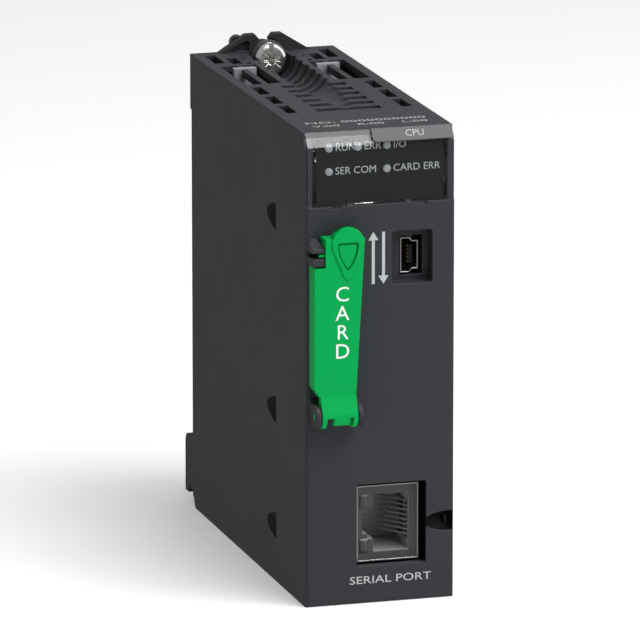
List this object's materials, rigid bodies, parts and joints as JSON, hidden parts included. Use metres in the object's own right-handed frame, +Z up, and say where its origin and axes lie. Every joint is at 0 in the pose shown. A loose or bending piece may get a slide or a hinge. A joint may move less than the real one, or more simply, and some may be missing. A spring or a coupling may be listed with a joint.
{
  "type": "plc module",
  "caption": "Slim rail-mounted controller module with a hinged memory-card door, clear status window, service and network ports, and a captive fixing screw.",
  "frame": {"origin": "bottom centre of the whole assembly's bounding box", "axes": "+X to the right seen from the front, +Y from the front panel to the rail side, +Z up; the front faces -Y"},
  "size_m": [0.032, 0.0988, 0.1038],
  "materials": {
    "housing_plastic": "satin, finely textured moulding",
    "rear_plastic": "satin moulding",
    "frame_plastic": "light grey moulding",
    "window_clear": "clear polished polycarbonate",
    "legend_black": "printed panel",
    "lamp_diffuser": "translucent, smooth",
    "guide_clear": "clear light pipe",
    "label_plastic": "smooth plate",
    "door_green": "satin green moulding",
    "card_plastic": "matt",
    "connector_plastic": "glass-filled moulding",
    "contact_gold": "gold plated",
    "shield_metal": "nickel-plated sheet",
    "spring_steel": "spring steel",
    "board_green": "solder-resist laminate",
    "chip_black": "moulded package",
    "sink_aluminium": "extruded",
    "capacitor_can": "drawn can",
    "part_ceramic": "ceramic chips",
    "screw_steel": "bright nickel",
    "dark_steel": "blackened steel"
  },
  "bodies": {
    "module": {"housing": "housing_plastic", "rear_cover": "rear_plastic", "board_frame": "frame_plastic", "status_window": "window_clear", "legend_panel": "legend_black", "status_lamps": "lamp_diffuser", "light_guide": "guide_clear", "lamp_board": "board_green", "label_plate": "label_plastic", "card_socket": "connector_plastic", "card_contacts": "contact_gold", "card_spring": "spring_steel", "usb_shell": "shield_metal", "usb_tongue": "connector_plastic", "usb_contacts": "contact_gold", "jack_shield": "shield_metal", "jack_body": "connector_plastic", "jack_contacts": "contact_gold", "main_board": "board_green", "side_board": "board_green", "board_link": "connector_plastic", "processor": "chip_black", "heat_sink": "sink_aluminium", "memory_chips": "chip_black", "capacitors": "capacitor_can", "transformer": "chip_black", "small_parts": "part_ceramic", "board_screws": "screw_steel", "backplane_plug": "connector_plastic", "backplane_pins": "contact_gold", "earth_spring": "spring_steel", "locating_peg": "dark_steel"},
    "door": {"card_door": "door_green"},
    "card": {"memory_card": "card_plastic"},
    "screw_carrier": {"screw_washer": "dark_steel"},
    "fixing_screw": {"screw": "screw_steel", "screw_clip": "dark_steel"}
  },
  "joints": [
    {"name": "door_hinge", "type": "hinge", "parent": "module", "child": "door", "pos_m": [-0.01025, -0.04695, 0.0415], "axis": [1, 0, 0], "range_deg": [0, 110]},
    {"name": "card_press", "type": "slide", "parent": "module", "child": "card", "axis": [0, 1, 0], "range_m": [0, 0.001], "stiffness_N_per_m": 400, "springref_m": -0.001},
    {"name": "screw_feed", "type": "slide", "parent": "module", "child": "screw_carrier", "axis": [0, 0.9962, -0.0872], "range_m": [0, 0.00245]},
    {"name": "screw_turn", "type": "hinge", "parent": "screw_carrier", "child": "fixing_screw", "pos_m": [0, 0.03944, 0.09904], "axis": [0, 0.9962, -0.0872], "range_deg": [0, 1260]}
  ],
  "couplings": [
    {"joint": "screw_turn", "follows": "screw_feed", "rad_per_m": 8976}
  ]
}
